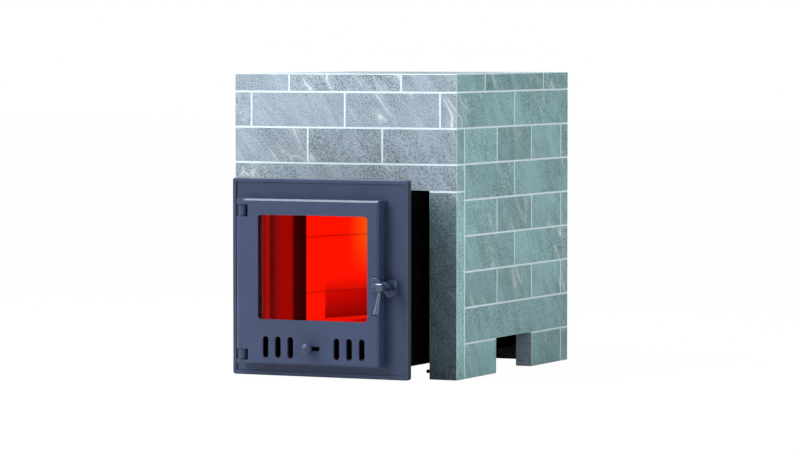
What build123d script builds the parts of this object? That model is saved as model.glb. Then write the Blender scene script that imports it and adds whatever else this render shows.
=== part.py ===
from build123d import *
import os

os.makedirs("parts", exist_ok=True)

# A wood-fired sauna stove in a casing of soapstone slabs, with a cast front plate and a glazed door.
# Millimetres. +X is to the right, +Z up, and the door looks along -Y.
# While it is modelled, Y is 0 on the front face of the stone casing, and larger towards the rear.

# Stone casing
CASE_W = 690.0
CASE_D = 795.0
COURSES = 8
PITCH = 100.0
JOINT = 4.0
WALL = 50.0
TOP_T = 48.0
MORTAR_SINK = 0.6
LEG_W = 84.0
LEG_TOP = 521.0
ARCH_START = 272.0
ARCH_LENGTH = 255.0
SIDE_JOINTS = (277.0, 525.0)
SIDE_MID_JOINT = 401.0
FRONT_JOINT = 116.0
TOP_FRONT_JOINT = 174.0
TOP_SIDE_JOINTS = (193.0, 611.0)

# Front plate
PLATE_W = 541.0
PLATE_BOTTOM = 9.5
PLATE_TOP = 559.0
PLATE_FACE = 160.0
PLATE_RETURN = 19.0
PLATE_T = 8.0
PLATE_RIM = 11.0
RIM_RISE = 4.0
BOLT_R = 7.5
BOLT_HEAD = 6.0
BOLT_SIDE = 10.0
BOLT_LOW = 60.0
BOLT_HIGH = 70.0
PLATE_CORNER = 7.0
SEAL_SEAT = 24.0
MOUTH_W = 360.0
MOUTH_BOTTOM = 62.0
MOUTH_TOP = 480.0

# Door
DOOR_RIGHT = 199.0
DOOR_BOTTOM = 45.0
DOOR_TOP = 503.0
DOOR_GAP = 3.0
DOOR_FACE = 200.0
DOOR_SKIN = 8.0
DOOR_BEVEL = 5.0
CREASE_X = -206.0
CREASE_DROP = 1.5
HINGE_X = -226.0
BARREL_R = 18.0
RIM_SIDE = 16.0
RIM_BOTTOM = 12.0
CAVITY_LEFT = -186.0
GROOVE_W = 7.0
GROOVE_DEPTH = 6.0
SEAL_GAP = 0.3
RECESS_RIGHT = -203.0
LOWER_RECESS = (54.0, 85.0)
UPPER_RECESS = (453.0, 487.0)
LUG_R = 12.5
LUG_GAP = 1.5
PIN_R = 5.0
PIN_FIT = 0.05
PIN_END = 5.0

# Window
WINDOW_LEFT = -171.0
WINDOW_RIGHT = 165.0
WINDOW_BOTTOM = 169.0
WINDOW_TOP = 459.0
WINDOW_R = 10.0
GLASS_LAP = 12.0
GLASS_T = 4.0
GASKET_T = 2.0
CLIP_X = 130.0
CLIP_W = 24.0
CLIP_T = 2.0
CLIP_BITE = 8.0
CLIP_REACH = 11.0
CLIP_GAP = 0.5
CLIP_SCREW_R = 2.5

# Air slider on the door
SLOT_PITCH = 38.5
SLOT_FIRST = 71.0
SLOTS_A_SIDE = 3
SLOT_W = 18.0
SLOT_BOTTOM = 61.5
SLOT_TOP = 122.0
SLIDER_T = 3.0
SLIDER_CLEAR = 0.3
SLIDER_MARGIN = 5.0
SLIDER_LAP = 2.0
SLIDER_TOP_WEB = 5.0
SLIDER_TRAVEL = 19.2
RAIL_T = 4.0
RAIL_LIP = 5.0
KNOB_X = -10.0
KNOB_Z = 91.0
KNOB_R = 16.5
KNOB_CENTRE = 225.0
STEM_R = 4.0
STEM_SLOT_HALF = 20.0
STEM_SLOT_H = 12.0

# Latch
LATCH_X = 190.0
LATCH_Z = 271.0
ROSETTE_R = 22.0
ROSETTE_T = 3.0
LATCH_GAP = 0.3
ARM_T = 7.0
LATCH_BOLT_R = 4.0
LATCH_FIT = 0.05
HUB_X = 217.0
HUB_Z = 268.0
HUB_SIZE = 21.0
HUB_BACK = 218.0
HUB_T = 20.0
NECK_R = 6.0
GRIP_TOP_R = 4.5
GRIP_END_R = 10.0
GRIP_DROP = 64.0
GRIP_OUT = 26.0
NOSE_LEFT = 214.0
NOSE_RIGHT = 228.0
NOSE_BOTTOM = 260.0
NOSE_STEP = 266.0
NOSE_TOP = 276.0
NOSE_BACK = 178.0
HOOK_T = 11.0
KEEPER_LEFT = 207.0
KEEPER_RIGHT = 240.0
KEEPER_BOTTOM = 240.0
KEEPER_TOP = 284.0
KEEPER_TOE = 226.0
KEEPER_HIP = 262.0
KEEPER_T = 8.0
KEEPER_POST = 10.0
LIP_BACK = 192.0
LIP_T = 7.0
LIP_TOP = 258.0
NOSE_R = 9.0
NOSE_X = 222.0
NOSE_Z = 273.0
GRIP_ROUND = 1.5
KEEPER_SCREW_R = 3.5

# Steel body inside the casing
SHEET = 3.0
SHROUD_SIDE = 21.0
SHROUD_W = CASE_W - 2 * (LEG_W + SHROUD_SIDE)
SHROUD_BOTTOM = 42.0
SHROUD_TOP = 518.0
TUNNEL_W = 380.0
TUNNEL_TOP = 486.0
TUNNEL_T = 6.0
TUNNEL_SPLIT = 66.0
AIR_BOX_W = 300.0
AIR_BOX_BOTTOM = 23.0
BODY_FRONT = 64.0
BODY_T = 5.0
LINING_HALF = 195.0
LINING_T = 28.0
LINING_SIDE = 4.0
BODY_W = 2 * (LINING_HALF + LINING_T + LINING_SIDE + BODY_T)
BODY_BEHIND = 51.0
BODY_REAR = CASE_D - WALL - BODY_BEHIND
BODY_BOTTOM = 48.0
BODY_TOP = 556.0
FOOT_R = 24.0
FOOT_H = 8.0
FOOT_ROD_R = 8.0
FOOT_X = 180.0
FOOT_INSET = 150.0

# Hearth and lining
HEARTH_BOTTOM = 112.0
HEARTH_TOP = 140.0
HEARTH_GAP = 0.5
GRATE_W = 180.0
GRATE_FRONT = 182.0
GRATE_REAR = 478.0
GRATE_T = 16.0
GRATE_LEDGE = 10.0
GRATE_GAP = 2.0
GRATE_BARS = 9
GRATE_SLOT = 10.0
LINING_FRONT = 72.0
LINING_BEND = 272.0
LINING_REAR = 560.0
LINING_REAR_HALF = 80.0
LINING_SEAMS = (218.0, 378.0)
LINING_TOP = 500.0
LINING_SEAM = 0.4
BAFFLE_T = 10.0
BAFFLE_FRONT = 250.0

# Ash pan
PAN_HALF = 140.0
PAN_FRONT = 90.0
PAN_REAR = 560.0
PAN_TOP = 104.0
PAN_T = 2.0
PAN_CLEAR = 0.3
PAN_SIDE_CLEAR = 10.0
CHANNEL_T = 6.0
CHANNEL_FOOT = 22.0
PAN_HANDLE_W = 80.0
PAN_HANDLE_R = 4.0
PAN_HANDLE_OUT = 22.0

# Stone chamber, flue and top
CHAMBER_HALF = 168.0
CHAMBER_FRONT = 199.0
CHAMBER_REAR = 605.0
CHAMBER_T = 4.0
FLANGE = 24.0
TOP_GAP = 2.5
TOP_PLATE_T = 6.0
FLUE_Y = 530.0
FLUE_BORE_R = 57.5
FLUE_T = 3.0
SOCKET_DEPTH = 60.0
LID_HALF = 140.0
LID_FRONT = 215.0
LID_REAR = 430.0
LID_T = 6.0
LID_GAP = 2.0
LID_LEDGE = 10.0
LID_PIN_R = 3.0
LID_KNUCKLE_R = 5.5
LID_KNUCKLE_L = 40.0
LID_KNUCKLE_X = 90.0
LID_FIT = 0.05
LID_LUG_T = 6.0
LID_LEDGE_T = 3.0
LID_SEAT = 0.3
LID_GRIP_W = 70.0
LID_GRIP_D = 26.0
LID_GRIP_R = 3.0

# Places worked out from the sizes above
HALF_W = CASE_W / 2
CASE_TOP = COURSES * PITCH + TOP_T
INNER = WALL + JOINT
SLAB_H = PITCH - JOINT
MOUTH_HALF = MOUTH_W / 2
PLATE_BACK = PLATE_FACE - RIM_RISE - PLATE_T
DOOR_BACK = PLATE_FACE + DOOR_GAP
HINGE_P = DOOR_BACK + BARREL_R
FACE_BACK = DOOR_FACE - DOOR_SKIN
CAVITY_RIGHT = DOOR_RIGHT - RIM_SIDE
CAVITY_BOTTOM = DOOR_BOTTOM + RIM_BOTTOM
CAVITY_TOP = DOOR_TOP - RIM_SIDE
GLASS_FRONT = FACE_BACK - GASKET_T
GLASS_BACK = GLASS_FRONT - GLASS_T
SLOT_CENTRES = [
    side * (SLOT_FIRST + SLOT_PITCH * i) for side in (-1, 1) for i in range(SLOTS_A_SIDE)
]
ROSETTE_FRONT = DOOR_FACE + ROSETTE_T
ARM_BACK = ROSETTE_FRONT + LATCH_GAP
ARM_FRONT = ARM_BACK + ARM_T
PAN_BOTTOM = MOUTH_BOTTOM + PAN_CLEAR
TOP_UNDER = CASE_TOP - TOP_PLATE_T


def block(x0, x1, y0, y1, z0, z1):
    """A box between two corners."""
    centre = Pos((x0 + x1) / 2, (y0 + y1) / 2, (z0 + z1) / 2)
    return centre * Box(x1 - x0, y1 - y0, z1 - z0)


def ahead(x0, x1, p0, p1, z0, z1):
    """A box given by how far it stands ahead of the casing, from p0 to p1."""
    return block(x0, x1, -p1, -p0, z0, z1)


def upright(x, y, radius, z0, z1):
    """A vertical cylinder."""
    return Pos(x, y, (z0 + z1) / 2) * Cylinder(radius, z1 - z0)


def fore_aft(x, z, radius, p0, p1):
    """A cylinder along Y, from p0 to p1 ahead of the casing."""
    return Pos(x, -(p0 + p1) / 2, z) * Rot(90, 0, 0) * Cylinder(radius, p1 - p0)


def crosswise(y, z, radius, x0, x1):
    """A cylinder along X."""
    return Pos((x0 + x1) / 2, y, z) * Rot(0, 90, 0) * Cylinder(radius, x1 - x0)


def rounded(x0, x1, p0, p1, z0, z1, radius):
    """A box ahead of the casing, with its four corners seen from the front rounded."""
    body = ahead(x0, x1, p0, p1, z0, z1)
    return fillet(body.edges().filter_by(Axis.Y), radius)


def solids_of(*shapes):
    """Every separate solid of the given shapes, as one list."""
    return [solid for shape in shapes for solid in shape.solids()]


def spans(start, end, joints):
    """Slab lengths from start to end, with a mortar joint centred on each given place."""
    edges = [start]
    for place in joints:
        edges += [place - JOINT / 2, place + JOINT / 2]
    edges.append(end)
    return list(zip(edges[0::2], edges[1::2]))


def course_bottom(course):
    return (course - 1) * PITCH


def side_spans(course):
    """Front and rear ends of the slabs in one course of a side wall."""
    if course == 1:
        legs = [(INNER, ARCH_START), (ARCH_START + ARCH_LENGTH, CASE_D - INNER)]
        return legs
    if course == 2:
        return [(INNER, CASE_D)]
    if course % 2:
        return spans(INNER, CASE_D - INNER, SIDE_JOINTS)
    front = 0.0 if course == COURSES else INNER
    return spans(front, CASE_D, [SIDE_MID_JOINT])


def cross_spans(course):
    """Left and right ends of the slabs in one course of the front or rear wall."""
    if course % 2:
        return spans(-HALF_W, HALF_W, [-FRONT_JOINT, FRONT_JOINT])
    return spans(-HALF_W + INNER, HALF_W - INNER, [0.0])


def side_slabs(side, first, last):
    """Slabs of the left (-1) or right (1) wall, from one course to another."""
    near, far = sorted((side * HALF_W, side * (HALF_W - WALL)))
    slabs = []
    for course in range(first, last + 1):
        z = course_bottom(course)
        slabs += [block(near, far, a, b, z, z + SLAB_H) for a, b in side_spans(course)]
    return slabs


def cross_slabs(y0, y1, first, last):
    """Slabs of the front or rear wall, from one course to another."""
    slabs = []
    for course in range(first, last + 1):
        z = course_bottom(course)
        slabs += [block(a, b, y0, y1, z, z + SLAB_H) for a, b in cross_spans(course)]
    return slabs


def front_leg(side):
    inner, outer = sorted((side * HALF_W, side * (HALF_W - LEG_W)))
    return [block(inner, outer, 0, WALL, 0, LEG_TOP)]


def front_lintel():
    """One long slab over the front opening, up to the seventh course."""
    return [block(-HALF_W, HALF_W, 0, WALL, LEG_TOP + JOINT, course_bottom(7) - JOINT)]


def top_slabs():
    """The ring of slabs on top: four corners, then the four between them."""
    xs = spans(-HALF_W, HALF_W, [-TOP_FRONT_JOINT, TOP_FRONT_JOINT])
    ys = spans(0.0, CASE_D, TOP_SIDE_JOINTS)
    low = COURSES * PITCH
    corners = []
    middles = []
    for i, (x0, x1) in enumerate(xs):
        for j, (y0, y1) in enumerate(ys):
            if i == 1 and j == 1:
                continue
            slab = block(x0, x1, y0, y1, low, CASE_TOP)
            (middles if 1 in (i, j) else corners).append(slab)
    return corners, middles


def wall_mortar(slabs):
    """The joints of the walls: the whole thickness of the walls, less the slabs and the openings."""
    sink = MORTAR_SINK
    high = COURSES * PITCH
    shell = block(-HALF_W + sink, HALF_W - sink, sink, CASE_D - sink, 0, high)
    shell -= block(-HALF_W + WALL, HALF_W - WALL, WALL, CASE_D - WALL, 0, high)
    mouth = HALF_W - LEG_W
    shell -= block(-mouth, mouth, 0, WALL, 0, LEG_TOP + JOINT)
    shell -= block(-HALF_W, HALF_W, ARCH_START, ARCH_START + ARCH_LENGTH, 0, PITCH)
    return solids_of(shell - slabs)


def top_mortar(slabs):
    sink = MORTAR_SINK
    low = COURSES * PITCH
    ring = block(-HALF_W + sink, HALF_W - sink, sink, CASE_D - sink, low, CASE_TOP - sink)
    hole = TOP_FRONT_JOINT - JOINT / 2
    y0 = TOP_SIDE_JOINTS[0] + JOINT / 2
    y1 = TOP_SIDE_JOINTS[1] - JOINT / 2
    ring -= block(-hole, hole, y0, y1, low, CASE_TOP)
    return solids_of(ring - slabs)


def front_plate():
    """Cast plate with a returned edge, a raised rim, a seat for the door seal and two hinge lugs."""
    half = PLATE_W / 2
    low, high = PLATE_BOTTOM, PLATE_TOP
    back = PLATE_FACE - PLATE_RETURN
    plate = rounded(-half, half, back, PLATE_FACE, low, high, PLATE_CORNER)
    face_rim = plate.faces().sort_by(Axis.Y)[0].edges()
    plate = fillet(face_rim, RIM_RISE * 0.75)
    inside = PLATE_RIM
    field = PLATE_FACE - RIM_RISE
    plate -= rounded(
        -half + inside, half - inside, field, PLATE_FACE, low + inside, high - inside, PLATE_CORNER / 2
    )
    plate -= rounded(
        -half + PLATE_T, half - PLATE_T, back, PLATE_BACK, low + PLATE_T, high - PLATE_T, PLATE_CORNER / 2
    )
    seat = SEAL_SEAT
    plate += ahead(
        -MOUTH_HALF - seat, MOUTH_HALF + seat, field, PLATE_FACE, MOUTH_BOTTOM - seat, MOUTH_TOP + seat
    )
    plate -= ahead(-MOUTH_HALF, MOUTH_HALF, back, PLATE_FACE, MOUTH_BOTTOM, MOUTH_TOP)
    for z0, z1 in (LOWER_RECESS, UPPER_RECESS):
        z0, z1 = z0 + LUG_GAP, z1 - LUG_GAP
        plate += upright(HINGE_X, -HINGE_P, LUG_R, z0, z1)
        plate += ahead(HINGE_X - LUG_R, HINGE_X + LUG_R, field, HINGE_P, z0, z1)
        plate -= upright(HINGE_X, -HINGE_P, PIN_R, z0, z1)
    return solids_of(plate)


def hinge_pin(low, high):
    """Pin through a lug of the plate into the door above and below it."""
    pin = upright(HINGE_X, -HINGE_P, PIN_R, low, high)
    return solids_of(chamfer(pin.edges(), 0.8))


def plate_bolts():
    """Hexagon heads behind the plate, which hold it to the shroud's corner tabs."""
    bolts = []
    for x in (-SHROUD_W / 2 - BOLT_SIDE, SHROUD_W / 2 + BOLT_SIDE):
        for z in (PLATE_BOTTOM + BOLT_LOW, PLATE_TOP - BOLT_HIGH):
            head = extrude(RegularPolygon(BOLT_R, 6), BOLT_HEAD)
            bolts += solids_of(Pos(x, -PLATE_BACK + BOLT_HEAD, z) * Rot(90, 0, 0) * head)
    return bolts


def door_casting():
    """Hollow cast door with a hinge barrel, a glazed window, air slots and a groove for its seal."""
    plan = Polyline(
        (HINGE_X, -DOOR_BACK),
        (DOOR_RIGHT, -DOOR_BACK),
        (DOOR_RIGHT, -DOOR_FACE),
        (CREASE_X, -DOOR_FACE),
        (HINGE_X, -DOOR_FACE + CREASE_DROP),
        close=True,
    )
    outline = make_face(plan) + Pos(HINGE_X, -HINGE_P) * Circle(BARREL_R)
    height = DOOR_TOP - DOOR_BOTTOM
    door = extrude(Pos(0, 0, DOOR_BOTTOM) * outline, height, dir=(0, 0, 1))
    front = [
        e
        for e in door.edges()
        if e.center().Y < -DOOR_FACE + 0.1
        and (e.center().X > DOOR_RIGHT - 0.1 or abs(e.center().Z - (DOOR_BOTTOM + DOOR_TOP) / 2) > 1)
    ]
    door = chamfer(front, DOOR_BEVEL)
    door -= ahead(CAVITY_LEFT, CAVITY_RIGHT, DOOR_BACK, FACE_BACK, CAVITY_BOTTOM, CAVITY_TOP)
    door -= rounded(
        WINDOW_LEFT, WINDOW_RIGHT, FACE_BACK, DOOR_FACE, WINDOW_BOTTOM, WINDOW_TOP, WINDOW_R
    )
    door -= slot_cutters(FACE_BACK, DOOR_FACE)
    door -= rounded(
        -STEM_SLOT_HALF, STEM_SLOT_HALF, FACE_BACK, DOOR_FACE,
        KNOB_Z - STEM_SLOT_H / 2, KNOB_Z + STEM_SLOT_H / 2, STEM_SLOT_H / 2 - 0.01
    )
    door -= seal_ring(DOOR_BACK, DOOR_BACK + GROOVE_DEPTH)
    for z0, z1 in (LOWER_RECESS, UPPER_RECESS):
        door -= ahead(HINGE_X - BARREL_R, RECESS_RIGHT, DOOR_BACK, DOOR_FACE, z0, z1)
    bore = PIN_R + PIN_FIT
    door -= upright(HINGE_X, -HINGE_P, bore, pin_span(LOWER_RECESS)[0] - 1, pin_span(LOWER_RECESS)[1] + 1)
    door -= upright(HINGE_X, -HINGE_P, bore, pin_span(UPPER_RECESS)[0] - 1, pin_span(UPPER_RECESS)[1] + 1)
    door -= fore_aft(LATCH_X, LATCH_Z, LATCH_BOLT_R, DOOR_BACK + GROOVE_DEPTH + 2, DOOR_FACE)
    for x, z0, z1 in clip_places():
        z = clip_screw_z(z0, z1)
        door += fore_aft(x, z, CLIP_SCREW_R + 3, GLASS_BACK, FACE_BACK)
    return solids_of(door)


def slot_cutters(p0, p1):
    """The upright air slots, with round ends."""
    cutters = []
    for x in SLOT_CENTRES:
        cutters.append(
            rounded(x - SLOT_W / 2, x + SLOT_W / 2, p0, p1, SLOT_BOTTOM, SLOT_TOP, SLOT_W / 2 - 0.01)
        )
    return cutters


def seal_ring(p0, p1):
    """A rectangular ring in the middle of the door's back rim."""
    x0 = CAVITY_LEFT - RIM_SIDE / 2
    x1 = CAVITY_RIGHT + RIM_SIDE / 2
    z0 = CAVITY_BOTTOM - RIM_BOTTOM / 2
    z1 = CAVITY_TOP + RIM_SIDE / 2
    half = GROOVE_W / 2
    ring = rounded(x0 - half, x1 + half, p0, p1, z0 - half, z1 + half, GROOVE_W)
    return ring - ahead(x0 + half, x1 - half, p0, p1, z0 + half, z1 - half)


def pin_span(recess):
    """Lower and upper end of the pin that passes through the lug in a recess."""
    return recess[0] - PIN_END, recess[1] + PIN_END


def glass_outline(p0, p1, lap):
    return ahead(
        WINDOW_LEFT - lap, WINDOW_RIGHT + lap, p0, p1, WINDOW_BOTTOM - lap, WINDOW_TOP + lap
    )


def door_glass():
    return solids_of(glass_outline(GLASS_BACK, GLASS_FRONT, GLASS_LAP))


def glass_gasket():
    ring = glass_outline(GLASS_FRONT, FACE_BACK, GLASS_LAP) - glass_outline(GLASS_FRONT, FACE_BACK, 1.0)
    return solids_of(ring)


def clip_places():
    """X and the two Z ends of each clip, two above the glass and two below it."""
    middle = (WINDOW_LEFT + WINDOW_RIGHT) / 2
    top = WINDOW_TOP + GLASS_LAP
    bottom = WINDOW_BOTTOM - GLASS_LAP
    places = []
    for x in (middle - CLIP_X, middle + CLIP_X):
        places.append((x, top - CLIP_BITE, top + CLIP_REACH))
        places.append((x, bottom - CLIP_REACH, bottom + CLIP_BITE))
    return places


def clip_screw_z(z0, z1):
    """Height of a clip's screw, beside the glass."""
    above = z0 > (WINDOW_BOTTOM + WINDOW_TOP) / 2
    edge = WINDOW_TOP + GLASS_LAP if above else WINDOW_BOTTOM - GLASS_LAP
    return edge + (1 if above else -1) * (CLIP_SCREW_R + 3 + CLIP_GAP)


def glass_clips():
    clips = []
    for x, z0, z1 in clip_places():
        clip = rounded(x - CLIP_W / 2, x + CLIP_W / 2, GLASS_BACK - CLIP_T, GLASS_BACK, z0, z1, 2)
        clip -= fore_aft(x, clip_screw_z(z0, z1), CLIP_SCREW_R, GLASS_BACK - CLIP_T, GLASS_BACK)
        clips += solids_of(clip)
    return clips


def clip_screws():
    screws = []
    for x, z0, z1 in clip_places():
        z = clip_screw_z(z0, z1)
        head = fore_aft(x, z, CLIP_SCREW_R * 1.8, GLASS_BACK - CLIP_T - 2.5, GLASS_BACK - CLIP_T)
        shank = fore_aft(x, z, CLIP_SCREW_R, GLASS_BACK - CLIP_T, GLASS_BACK)
        screws += solids_of(head + shank)
    return screws


def door_seal():
    """Rope seal in the groove, a hair clear of the plate when the door is shut."""
    return solids_of(seal_ring(PLATE_FACE + SEAL_GAP, DOOR_BACK + GROOVE_DEPTH))


def slider_rails():
    """Two rails behind the door's face, which hold the slider's lower and upper edge."""
    x0, x1 = CAVITY_LEFT + 6, CAVITY_RIGHT - 4
    back = FACE_BACK - SLIDER_T - 2 * SLIDER_CLEAR
    top = SLOT_TOP + SLIDER_TOP_WEB + SLIDER_CLEAR
    lower = ahead(x0, x1, back - RAIL_T, back, CAVITY_BOTTOM, SLOT_BOTTOM - 0.5)
    upper = ahead(x0, x1, back - RAIL_T, back, top - RAIL_LIP, top + RAIL_LIP)
    upper += ahead(x0, x1, back, FACE_BACK, top, top + RAIL_LIP)
    return solids_of(lower, upper)


def air_slider():
    """Plate with the door's slots, which uncovers them at rest and covers them at the end of its travel."""
    last = SLOT_FIRST + SLOT_PITCH * (SLOTS_A_SIDE - 1) + SLOT_W / 2
    left = -last - SLIDER_TRAVEL - SLIDER_LAP
    right = last + SLIDER_MARGIN
    front = FACE_BACK - SLIDER_CLEAR
    low = CAVITY_BOTTOM + SLIDER_CLEAR
    plate = ahead(left, right, front - SLIDER_T, front, low, SLOT_TOP + SLIDER_TOP_WEB)
    plate -= slot_cutters(front - SLIDER_T, front)
    plate -= fore_aft(KNOB_X, KNOB_Z, STEM_R, front - SLIDER_T, front)
    return solids_of(plate)


def knob_stem():
    back = FACE_BACK - SLIDER_CLEAR - SLIDER_T
    return solids_of(fore_aft(KNOB_X, KNOB_Z, STEM_R, back, KNOB_CENTRE))


def air_knob():
    """Turned ball knob with a short neck, on the slider's stem."""
    knob = Pos(KNOB_X, -KNOB_CENTRE, KNOB_Z) * Sphere(KNOB_R)
    knob += fore_aft(KNOB_X, KNOB_Z, STEM_R * 1.7, KNOB_CENTRE - KNOB_R - 2, KNOB_CENTRE)
    return solids_of(knob - fore_aft(KNOB_X, KNOB_Z, STEM_R, KNOB_CENTRE - KNOB_R - 2, KNOB_CENTRE))


def latch_washer():
    """Round rosette between the door's face and the turning arm."""
    disc = fore_aft(LATCH_X, LATCH_Z, ROSETTE_R * 0.8, DOOR_FACE, ROSETTE_FRONT)
    disc = chamfer(disc.edges().sort_by(Axis.Y)[0], 1.0)
    return solids_of(disc - fore_aft(LATCH_X, LATCH_Z, LATCH_BOLT_R, DOOR_FACE, ROSETTE_FRONT))


def latch_arm():
    """Round boss with an arm to the right, whose hooked nose turns down behind the keeper's lip."""
    arm = fore_aft(LATCH_X, LATCH_Z, ROSETTE_R, ARM_BACK, ARM_FRONT)
    arm = fillet(arm.edges().sort_by(Axis.Y)[0], 3.0)
    arm += ahead(LATCH_X, NOSE_RIGHT, ARM_BACK, ARM_FRONT, NOSE_STEP, NOSE_TOP)
    arm += fore_aft(NOSE_X, NOSE_Z, NOSE_R, ARM_BACK, ARM_FRONT)
    arm += ahead(NOSE_LEFT, NOSE_RIGHT, NOSE_BACK, ARM_FRONT, NOSE_STEP, NOSE_TOP)
    arm += ahead(NOSE_LEFT, NOSE_RIGHT, NOSE_BACK, NOSE_BACK + HOOK_T, NOSE_BOTTOM, NOSE_STEP)
    arm += fore_aft(HUB_X, HUB_Z, NECK_R, ARM_BACK, HUB_BACK)
    arm -= fore_aft(LATCH_X, LATCH_Z, LATCH_BOLT_R + LATCH_FIT, ARM_BACK, ARM_FRONT)
    return solids_of(arm)


def latch_bolt():
    """Shouldered bolt on which the arm turns, fixed in the door."""
    bolt = fore_aft(LATCH_X, LATCH_Z, LATCH_BOLT_R, DOOR_BACK + GROOVE_DEPTH + 2, ARM_FRONT + LATCH_GAP)
    head = fore_aft(LATCH_X, LATCH_Z, LATCH_BOLT_R * 1.8, ARM_FRONT + LATCH_GAP, ARM_FRONT + LATCH_GAP + 3)
    head = fillet(head.edges().sort_by(Axis.Y)[0], 1.2)
    return solids_of(bolt + head)


def handle_hub():
    half = HUB_SIZE / 2
    hub = ahead(HUB_X - half, HUB_X + half, HUB_BACK, HUB_BACK + HUB_T, HUB_Z - half, HUB_Z + half)
    return solids_of(chamfer(hub.edges(), 2.0))


def handle_grip():
    """Turned conical grip, thin at the hub and wide at its end, slanting down and out."""
    start = Vector(HUB_X, -(HUB_BACK + HUB_T * 0.6), HUB_Z - HUB_SIZE / 2)
    along = Vector(0, -GRIP_OUT, -GRIP_DROP)
    grip = Plane(start + along * 0.5, z_dir=along.normalized()) * Cone(
        GRIP_TOP_R, GRIP_END_R, along.length
    )
    grip = fillet(grip.edges().sort_by(Axis.Z)[0], GRIP_ROUND)
    return solids_of(grip - handle_hub())


def latch_keeper():
    """Cast keeper on the plate, drawn in to a toe, with a lip that the latch's nose turns in behind."""
    outline = make_face(
        Polyline(
            (KEEPER_LEFT, KEEPER_TOP),
            (KEEPER_RIGHT, KEEPER_TOP),
            (KEEPER_RIGHT, KEEPER_BOTTOM),
            (KEEPER_TOE, KEEPER_BOTTOM),
            (KEEPER_LEFT, KEEPER_HIP),
            close=True,
        )
    )
    shape = Plane.XZ * fillet(outline.vertices(), 4.0)
    field = PLATE_FACE - RIM_RISE
    keeper = Pos(0, -field, 0) * extrude(shape, PLATE_FACE + KEEPER_T - field)
    lip = Pos(0, -LIP_BACK, 0) * extrude(shape, LIP_T)
    keeper += lip - ahead(KEEPER_LEFT, KEEPER_RIGHT, LIP_BACK, LIP_BACK + LIP_T, LIP_TOP, KEEPER_TOP)
    post = KEEPER_RIGHT - KEEPER_POST
    keeper += ahead(post, KEEPER_RIGHT, PLATE_FACE, LIP_BACK + 1, KEEPER_BOTTOM + 4, LIP_TOP)
    keeper -= keeper_screw()
    return solids_of(keeper)


def keeper_screw():
    x = (KEEPER_LEFT + KEEPER_RIGHT) / 2
    z = KEEPER_TOP - 10
    face = PLATE_FACE + KEEPER_T
    screw = fore_aft(x, z, KEEPER_SCREW_R, PLATE_FACE - RIM_RISE, face)
    screw += fore_aft(x, z, KEEPER_SCREW_R * 1.7, face - 2, face + 0.5)
    return solids_of(screw)


def sleeve(half, p0, p1, z0, z1, wall):
    """A rectangular tube along Y, given by its outside."""
    outer = ahead(-half, half, p0, p1, z0, z1)
    return outer - ahead(-half + wall, half - wall, p0, p1, z0 + wall, z1 - wall)


def tunnel_shroud():
    shroud = sleeve(SHROUD_W / 2, -BODY_FRONT, PLATE_BACK, SHROUD_BOTTOM, SHROUD_TOP, SHEET)
    return solids_of(shroud)


def fire_tunnel(p0, p1):
    half = TUNNEL_W / 2 + TUNNEL_T
    return solids_of(sleeve(half, p0, p1, MOUTH_BOTTOM - TUNNEL_T, TUNNEL_TOP + TUNNEL_T, TUNNEL_T))


def air_box():
    """Shallow duct under the shroud, which brings air to the front."""
    half = AIR_BOX_W / 2
    box = ahead(-half, half, -BODY_FRONT, PLATE_BACK, AIR_BOX_BOTTOM, SHROUD_BOTTOM)
    box -= ahead(
        -half + SHEET, half - SHEET, -BODY_FRONT, PLATE_BACK - SHEET, AIR_BOX_BOTTOM + SHEET, SHROUD_BOTTOM
    )
    return solids_of(box)


def firebox_shell():
    """Welded box, open at the front, with the flue hole in its top."""
    half = BODY_W / 2
    t = BODY_T
    front = BODY_FRONT + t
    shell = block(-half, half, front, BODY_REAR, BODY_BOTTOM, BODY_TOP)
    shell -= block(-half + t, half - t, front, BODY_REAR - t, BODY_BOTTOM + t, BODY_TOP - t)
    return solids_of(shell - upright(0, FLUE_Y, FLUE_BORE_R, BODY_TOP - t, BODY_TOP))


def firebox_front():
    """Front panel of the firebox, with the opening that the fire tunnel leads to."""
    half = BODY_W / 2
    mouth = TUNNEL_W / 2
    y0, y1 = BODY_FRONT, BODY_FRONT + BODY_T
    panel = block(-half, half, y0, y1, BODY_BOTTOM, BODY_TOP)
    return solids_of(panel - block(-mouth, mouth, y0, y1, MOUTH_BOTTOM, TUNNEL_TOP))


def levelling_feet():
    feet = []
    for x in (-FOOT_X, FOOT_X):
        for y in (BODY_FRONT + FOOT_INSET, BODY_REAR - FOOT_INSET):
            pad = upright(x, y, FOOT_R, 0, FOOT_H)
            pad = chamfer(pad.edges().sort_by(Axis.Z)[-1], 2)
            feet += solids_of(pad + upright(x, y, FOOT_ROD_R, FOOT_H, BODY_BOTTOM))
    return feet


def ash_channel():
    """Two folded strips that carry the hearth and guide the ash pan."""
    inner = PAN_HALF + PAN_SIDE_CLEAR
    y0, y1 = BODY_FRONT + BODY_T, PAN_REAR + 20
    low = BODY_BOTTOM + BODY_T
    strips = []
    for side in (-1, 1):
        x0, x1 = sorted((side * inner, side * (inner + CHANNEL_T)))
        strip = block(x0, x1, y0, y1, low, HEARTH_BOTTOM)
        x0, x1 = sorted((side * (inner - CHANNEL_FOOT), side * inner))
        strip += block(x0, x1, y0, y1, low, MOUTH_BOTTOM)
        strips += solids_of(strip)
    return strips


def ash_pan():
    pan = block(-PAN_HALF, PAN_HALF, PAN_FRONT, PAN_REAR, PAN_BOTTOM, PAN_TOP)
    t = PAN_T
    pan -= block(-PAN_HALF + t, PAN_HALF - t, PAN_FRONT + t, PAN_REAR - t, PAN_BOTTOM + t, PAN_TOP)
    return solids_of(pan)


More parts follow.
